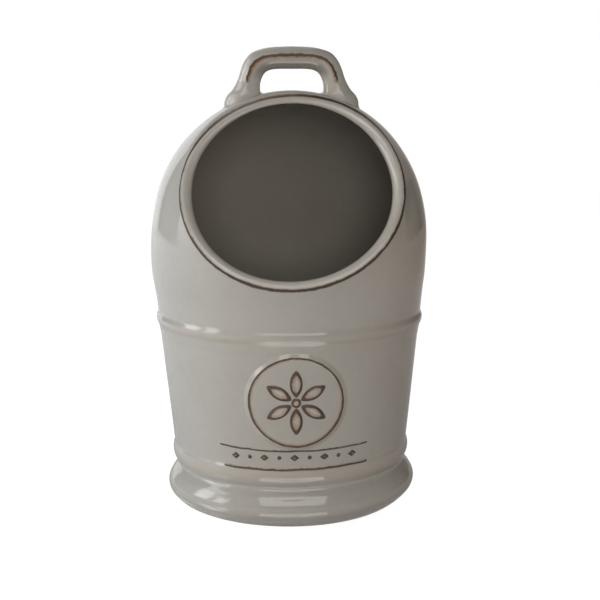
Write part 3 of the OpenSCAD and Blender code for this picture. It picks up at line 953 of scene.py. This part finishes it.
def glaze_material(name, worn_half, tan_side, tan_amount, jagged, line=IRON, shade=0.0, painted_light=1.0):
    """Satin grey glaze with a dark line and a tan band on its worn edges.

    worn_half is half the line's width, tan_side is how far beside it the band lies, and jagged is how far
    both stray, in millimetres. line is the line's colour, shade is painted shade on the face under the
    handle's bar, and painted_light lightens the grey as painted light.
    """
    material = bpy.data.materials.new(name)
    tree, surface = new_tree(material, "ShaderNodeOutputMaterial")
    shader = add(tree, "ShaderNodeBsdfPrincipled")
    link(tree, shader.outputs[0], surface)
    coords = add(tree, "ShaderNodeTexCoord").outputs["Object"]
    height = axes_of(tree, coords)[2]
    mark = attribute(tree, "edge")
    cloud = noise(tree, coords, *CLOUD)
    fine = noise(tree, coords, *FINE)
    speck = noise(tree, coords, *SPECKS)
    patchy = noise(tree, coords, *PATCHY)
    peel = noise(tree, coords, *PEEL)

    base = glaze_colour(tree, cloud, fine, speck, painted_light)
    tan, dark = worn_bands(tree, coords, mark, patchy, worn_half, tan_side, tan_amount, jagged)
    # Painted shade on the face under the handle's bar
    if shade:
        base = bar_painted_shade(tree, base, mark, height, shade)
    base = mix(tree, tan, base, TAN)
    base = mix(tree, dark, base, line)
    # Bare clay on the ring that the pot stands on; its buff is partly the clay's own colour, partly painted
    # light
    uneven_height = plus(tree, height, times(tree, minus(tree, patchy, 0.5), BARE_UNEVEN))
    bare = ramp(tree, times(tree, uneven_height, 100.0, True), [(0.10, WHITE), (0.20, BLACK)])
    link(tree, mix(tree, bare, base, BUFF), shader.inputs["Base Color"])

    rough = ramp(tree, fine, [(0.3, grey(GLAZE_SMOOTH)), (0.7, grey(GLAZE_DULL))])
    rough = mix(tree, dark, rough, grey(WORN_ROUGH))
    link(tree, mix(tree, bare, rough, grey(BARE_ROUGH)), shader.inputs["Roughness"])

    bump = add(tree, "ShaderNodeBump")
    bump.inputs["Strength"].default_value = BUMP_STRENGTH
    bump.inputs["Distance"].default_value = BUMP_DISTANCE
    relief = plus(tree, times(tree, peel, 0.7), times(tree, speck, 0.25))
    link(tree, minus(tree, relief, times(tree, dark, 0.5)), bump.inputs["Height"])
    link(tree, bump.outputs[0], shader.inputs["Normal"])
    return material


body_glaze = glaze_material("grey_glaze", 0.54, 0.3, 0.85, 0.9)
# Painted light: the rim's glaze is lighter than the body's, standing in for the light on the lip
rim_glaze = glaze_material("rim_glaze", 0.62, 0.3, 0.35, 0.9, painted_light=1.18)
# The handle's glaze carries painted shade on the face under its bar
handle_glaze = glaze_material("handle_glaze", 0.66, 0.70, 0.9, 1.8, shade=0.45)
medallion_glaze = glaze_material("medallion_glaze", 0.42, -0.40, 0.7, 0.8, COPPER)
rosette_glaze = glaze_material("rosette_glaze", 0.50, -0.5, 0.55, 1.0, COPPER)
stud_glaze = glaze_material("stud_glaze", 0.62, -0.4, 0.6, 0.8, COPPER)
line_glaze = glaze_material("line_glaze", 0.33, -0.35, 0.8, 0.9, COPPER)

# The pieces of the pot
half_sweep = LABEL_SWEEP / 2
make_foot().build(body_glaze)
make_course("base_bead", row_ends[0:2], inner_ends[1:3]).build(body_glaze)
make_course("lower_wall", row_ends[1:3], inner_ends[0:2]).build(body_glaze)
make_course("waist_bead", row_ends[2:4], (inner_waist, inner_ends[0])).build(body_glaze)
make_course("dome", row_ends[3:5], (joint_at, inner_waist)).build(body_glaze)
make_rim().build(rim_glaze)
make_floor_slab().build(body_glaze)
make_handle().build(handle_glaze)
make_medallion().build(medallion_glaze)
make_rosette().build(rosette_glaze)
make_line("upper_line", UPPER_LINE_Z - 0.25, half_sweep, half_sweep, 0.95).build(line_glaze)
make_line("lower_line", LOWER_LINE_Z + 0.25, half_sweep - 2.2, half_sweep, 0.6).build(line_glaze)
make_studs().build(stud_glaze)

# Studio. The backdrop as it lights the clay and as the glaze mirrors it, the table as the glaze mirrors it,
# and the light that the table bounces, from left to right
AMBIENT = 0.02
BACKDROP_LEFT, BACKDROP_RIGHT = (1.3, 1.35, 1.4), (0.14, 0.10, 0.07)
MIRRORED_LEFT, MIRRORED_RIGHT = grey(1.05), (0.20, 0.16, 0.13)
# The table's painted glow as the glaze sees it, lit on the left and in painted shade on the right
TABLE_LEFT, TABLE_RIGHT = (0.93, 0.95, 0.98), (0.31, 0.24, 0.19)
# Painted shade: the table's colour for the light it bounces, darker and warmer towards its right
TABLE_BOUNCE = [(0.0, grey(0.8)), (0.45, grey(0.72)), (0.72, (0.22, 0.16, 0.12)), (1.0, (0.15, 0.10, 0.07))]
# The camera sees the table as its own glow plus a little shadow
TABLE_SHOWN, TABLE_GLOW = grey(0.14), 0.965
# Half width in metres of the strip of table before the pot that the glaze sees as a mirror
STRIP_FULL, STRIP_GONE = (0.045, grey(0.9)), (0.060, BLACK)
STRIP_ROUGH = 0.02

COOL, WARM = (0.82, 1.0, 1.2), (1.1, 0.98, 0.86)
LAMP_DISTANCE, WINDOW_DISTANCE, PANEL_DISTANCE = 1.2, 1.0, 0.75
LAMPS = [
    # name, azimuth, elevation, size, level, colour
    ("left_low", -100, 15, 0.7, 0.62, COOL),
    ("left", -78, 10, 0.5, 0.385, WARM),
    ("front", 0, 12, 0.5, 0.455, WHITE),
    ("above", 0, 66, 0.8, 0.04, WHITE),
    ("above_behind", -165, 45, 0.6, 0.25, WHITE),
    ("front_right", 30, 6, 0.5, 0.085, WHITE),
    ("right_front", 48, 4, 0.5, 0.11, WARM),
    ("right", 85, 20, 0.5, 0.012, WARM),
]
WINDOWS = [
    # name, azimuth, elevation, width, height, radiance
    ("window_back", -92, 18, 0.25, 0.44, 5.0),
    ("window_back_glow", -92, 18, 0.36, 0.56, 2.0),
    ("window_front", -71, 15, 0.18, 0.38, 4.4),
    ("window_front_glow", -71, 15, 0.26, 0.50, 1.8),
    ("window_top", -90, 38, 0.40, 0.16, 2.8),
]
PANEL_ELEVATION, PANEL_W, PANEL_H, PANEL_RADIANCE = 41.3, 0.78, 0.43, 2.8

# Camera, worked out from the pot's own circles: pixels, metres, radians of pitch, degrees of yaw and pan
FOCAL_PX, PHOTO_PX, SENSOR_MM = 1318.7, 600.0, 36.0
CAMERA_AWAY, CAMERA_Z, CAMERA_PITCH, CAMERA_YAW, CAMERA_PAN = 0.5733, 0.1882, 0.1695, 1.9, 0.49


def table_reflection(tree, coords, axes):
    """What the glaze sees of the table: its brightness as a painted glow, lighter on the left and darker
    near the pot as the pot's painted shadow, and a strip of mirror before the pot.
    """
    left = plus(tree, times(tree, axes[0], -0.8), 0.5, True)
    lit = ramp(tree, left, [(0.0, TABLE_RIGHT), (1.0, TABLE_LEFT)])
    flat = add(tree, "ShaderNodeVectorMath", operation="LENGTH")
    link(tree, coords, flat.inputs[0])
    # Painted shadow of the pot: the table's glow is darker near it
    away = ramp(tree, flat.outputs["Value"], [(0.06, grey(0.5)), (0.40, WHITE)])
    table = simple_shader(tree, "ShaderNodeEmission", mix(tree, 1.0, lit, away, "MULTIPLY"))
    near = ramp(tree, math_node(tree, "ABSOLUTE", axes[0]), [STRIP_FULL, STRIP_GONE])
    ahead = ramp(tree, times(tree, axes[1], -1.0), [(0.0, BLACK), (0.02, WHITE)])
    strip = mix(tree, 1.0, near, ahead, "MULTIPLY")
    mirror = simple_shader(tree, "ShaderNodeBsdfGlossy", strip, Roughness=STRIP_ROUGH)
    return combined(tree, "ShaderNodeAddShader", table, mirror)


def make_floor_plane():
    """A white table. The colour that it bounces light with is painted shade, darker and warmer towards its
    right.
    """
    bpy.ops.mesh.primitive_plane_add(size=3, location=(0, 0, 0))
    plane = bpy.context.object
    plane.name = "studio_floor"
    material = bpy.data.materials.new("studio_white")
    tree, surface = new_tree(material, "ShaderNodeOutputMaterial")
    path = add(tree, "ShaderNodeLightPath")
    coords = add(tree, "ShaderNodeTexCoord").outputs["Object"]
    axes = axes_of(tree, coords)
    across = plus(tree, times(tree, axes[0], 3.5), 0.5, True)
    bounce = simple_shader(tree, "ShaderNodeBsdfDiffuse", ramp(tree, across, TABLE_BOUNCE))
    glossy = table_reflection(tree, coords, axes)
    lighting = combined(tree, "ShaderNodeMixShader", path.outputs["Is Glossy Ray"], bounce, glossy)
    shown = simple_shader(tree, "ShaderNodeBsdfDiffuse", TABLE_SHOWN)
    glow = simple_shader(tree, "ShaderNodeEmission", WHITE, Strength=TABLE_GLOW)
    seen = combined(tree, "ShaderNodeAddShader", shown, glow)
    chosen = combined(tree, "ShaderNodeMixShader", path.outputs["Is Camera Ray"], lighting, seen)
    link(tree, chosen, surface)
    plane.data.materials.append(material)


def make_world():
    """A dark room with a pale backdrop behind the pot. The camera sees plain white."""
    world = bpy.data.worlds.new("studio")
    bpy.context.scene.world = world
    tree, surface = new_tree(world, "ShaderNodeOutputWorld")
    path = add(tree, "ShaderNodeLightPath")
    axes = axes_of(tree, add(tree, "ShaderNodeTexCoord").outputs["Generated"])
    across = times(tree, math_node(tree, "ABSOLUTE", axes[0]), -0.80)
    behind = plus(tree, times(tree, axes[1], 0.60), across)
    left = plus(tree, times(tree, axes[0], -0.5), 0.5)
    lit = ramp(tree, left, [(0.2, BACKDROP_RIGHT), (0.8, BACKDROP_LEFT)])
    mirrored = ramp(tree, left, [(0.25, MIRRORED_RIGHT), (0.64, MIRRORED_LEFT)])
    backdrop = mix(tree, path.outputs["Is Glossy Ray"], lit, mirrored)
    shape = ramp(tree, plus(tree, behind, 0.5), [(0.485, BLACK), (0.515, WHITE)])
    room = simple_shader(tree, "ShaderNodeBackground", mix(tree, shape, grey(AMBIENT), backdrop))
    seen = simple_shader(tree, "ShaderNodeBackground", WHITE, Strength=1.0)
    link(tree, combined(tree, "ShaderNodeMixShader", path.outputs["Is Camera Ray"], room, seen), surface)


def area_light(name, azimuth, elevation, distance, size, level, colour=WHITE,
               size_y=None, shift=(0, 0), mirrored=False):
    """level is the brightness that it gives a white surface facing it. Azimuth 0 is in front, 90 the right.

    A mirrored lamp is seen in the glaze, and the others light the clay. shift moves it sideways and up in its
    own plane.
    """
    az, el = radians(azimuth), radians(elevation)
    data = bpy.data.lights.new(name, "AREA")
    data.shape = "RECTANGLE" if size_y else "DISK"
    data.size = size
    if size_y:
        data.size_y = size_y
    data.energy = level * pi ** 2 * distance ** 2
    data.color = colour
    lamp = bpy.data.objects.new(name, data)
    bpy.context.scene.collection.objects.link(lamp)
    out = unit(np.array([sin(az) * cos(el), -cos(az) * cos(el), sin(el)]))
    sideways = np.array([cos(az), sin(az), 0])
    middle = np.array([0, 0, 0.1])
    lamp.location = middle + out * distance + sideways * shift[0] + np.cross(out, sideways) * shift[1]
    lamp.rotation_euler = Vector(out).to_track_quat("Z", "Y").to_euler()
    lamp.visible_glossy = mirrored
    lamp.visible_diffuse = not mirrored
    lamp.visible_camera = False


def window(name, azimuth, elevation, distance, width, height, radiance, shift=(0, 0)):
    level = radiance * width * height / (pi * distance ** 2)
    area_light(name, azimuth, elevation, distance, width, level, size_y=height, shift=shift, mirrored=True)


def make_ceiling_panel():
    """Bright panel over the camera, with its dark fitting in the middle."""
    bar_w, bar_h = PANEL_W * 0.28, PANEL_H * 0.18
    side_w, part_h = (PANEL_W - bar_w) / 2, (PANEL_H - bar_h) / 2
    up, out = (part_h + bar_h) / 2, (side_w + bar_w) / 2
    for name, w, h, shift in (
        ("panel_upper", PANEL_W, part_h, (0, up)), ("panel_lower", PANEL_W, part_h, (0, -up)),
        ("panel_left", side_w, bar_h, (-out, 0)), ("panel_right", side_w, bar_h, (out, 0)),
    ):
        window(name, 0, PANEL_ELEVATION, PANEL_DISTANCE, w, h, PANEL_RADIANCE, shift)


def make_camera():
    data = bpy.data.cameras.new("camera")
    data.sensor_width = SENSOR_MM
    data.lens = FOCAL_PX * SENSOR_MM / PHOTO_PX
    data.clip_start = 0.01
    camera = bpy.data.objects.new("camera", data)
    bpy.context.scene.collection.objects.link(camera)
    yaw, pan = radians(CAMERA_YAW), radians(CAMERA_PAN)
    camera.location = (-CAMERA_AWAY * sin(yaw), -CAMERA_AWAY * cos(yaw), CAMERA_Z)
    camera.rotation_euler = (pi / 2 - CAMERA_PITCH, 0, -(yaw + pan))
    bpy.context.scene.camera = camera


make_floor_plane()
make_world()
for name, azimuth, elevation, size, level, colour in LAMPS:
    area_light(name, azimuth, elevation, LAMP_DISTANCE, size, level, colour)
for name, azimuth, elevation, width, height, radiance in WINDOWS:
    window(name, azimuth, elevation, WINDOW_DISTANCE, width, height, radiance)
make_ceiling_panel()
make_camera()
bpy.context.scene.view_settings.view_transform = "Standard"
